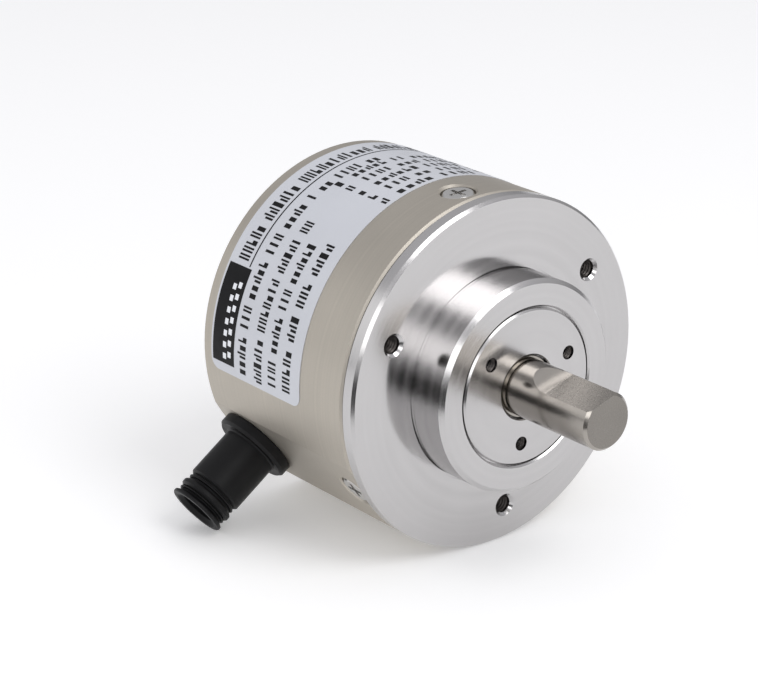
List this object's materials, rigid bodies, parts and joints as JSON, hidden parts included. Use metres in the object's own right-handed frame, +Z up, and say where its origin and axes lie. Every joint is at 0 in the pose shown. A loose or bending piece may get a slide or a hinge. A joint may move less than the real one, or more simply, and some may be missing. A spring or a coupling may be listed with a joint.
{
  "type": "incremental rotary encoder",
  "caption": "Round-bodied incremental rotary encoder with a D-cut solid shaft in ball bearings, clamping collar, screw-mount flange and radial cable gland.",
  "frame": {"origin": "centre of the flange's mounting face, on the shaft axis", "axes": "-Y out of the shaft end, +Y to the rear of the case, +Z up as the encoder lies on its case with the cable gland low on the -X side"},
  "size_m": [0.0582, 0.0555, 0.0501],
  "materials": {
    "turned_aluminium": "fine turned, bright",
    "anodised_case": "satin, fine brushed, champagne anodised",
    "shaft_steel": "ground stainless steel",
    "screw_steel": "bright zinc-plated",
    "bearing_steel": "polished",
    "spring_steel": "cold rolled",
    "gland_plastic": "matte moulded nylon",
    "black_plastic": "matte moulded",
    "seal_rubber": "matte",
    "label_film": "satin printed film",
    "brass": "turned",
    "board_laminate": "solder-masked laminate",
    "led_lens": "clear moulded lens",
    "capacitor_can": "drawn can",
    "header_plastic": "moulded nylon",
    "cage_nylon": "moulded nylon"
  },
  "bodies": {
    "housing": {"mounting_flange": "turned_aluminium", "bearing_cover": "turned_aluminium", "case": "anodised_case", "case_screws": "screw_steel", "flange_o_ring": "seal_rubber", "name_label": "label_film", "gland_body": "gland_plastic", "gland_grip_sleeve": "seal_rubber", "front_bearing_outer_ring": "bearing_steel", "front_bearing_shields": "bearing_steel", "rear_bearing_outer_ring": "bearing_steel", "rear_bearing_shields": "bearing_steel", "preload_washer": "spring_steel", "outer_spacer": "turned_aluminium", "led_holder": "black_plastic", "led": "led_lens", "led_holder_screw": "screw_steel", "board_posts": "brass", "main_board": "board_laminate", "board_screws": "screw_steel", "photo_sensor": "black_plastic", "reticle": "spring_steel", "driver_chip": "black_plastic", "regulator_chip": "black_plastic", "capacitors": "capacitor_can", "header_housing": "header_plastic", "header_pins": "brass"},
    "rotor": {"shaft": "shaft_steel", "shaft_sleeve": "shaft_steel", "front_bearing_inner_ring": "bearing_steel", "rear_bearing_inner_ring": "bearing_steel", "inner_spacer": "shaft_steel", "shaft_circlip": "spring_steel", "disc_hub": "brass", "hub_set_screws": "screw_steel", "code_disc": "spring_steel", "disc_clamp_ring": "brass"},
    "front_ball_set": {"front_bearing_balls": "bearing_steel", "front_bearing_cage": "cage_nylon"},
    "rear_ball_set": {"rear_bearing_balls": "bearing_steel", "rear_bearing_cage": "cage_nylon"}
  },
  "joints": [
    {"name": "shaft_spin", "type": "hinge", "parent": "housing", "child": "rotor", "pos_m": [0, 0, 0], "axis": [0, 1, 0], "continuous": true},
    {"name": "front_cage_spin", "type": "hinge", "parent": "housing", "child": "front_ball_set", "pos_m": [0, 0, 0], "axis": [0, 1, 0], "continuous": true},
    {"name": "rear_cage_spin", "type": "hinge", "parent": "housing", "child": "rear_ball_set", "pos_m": [0, 0, 0], "axis": [0, 1, 0], "continuous": true}
  ],
  "couplings": [
    {"joint": "front_cage_spin", "follows": "shaft_spin", "ratio": 0.3677},
    {"joint": "rear_cage_spin", "follows": "shaft_spin", "ratio": 0.3677}
  ]
}
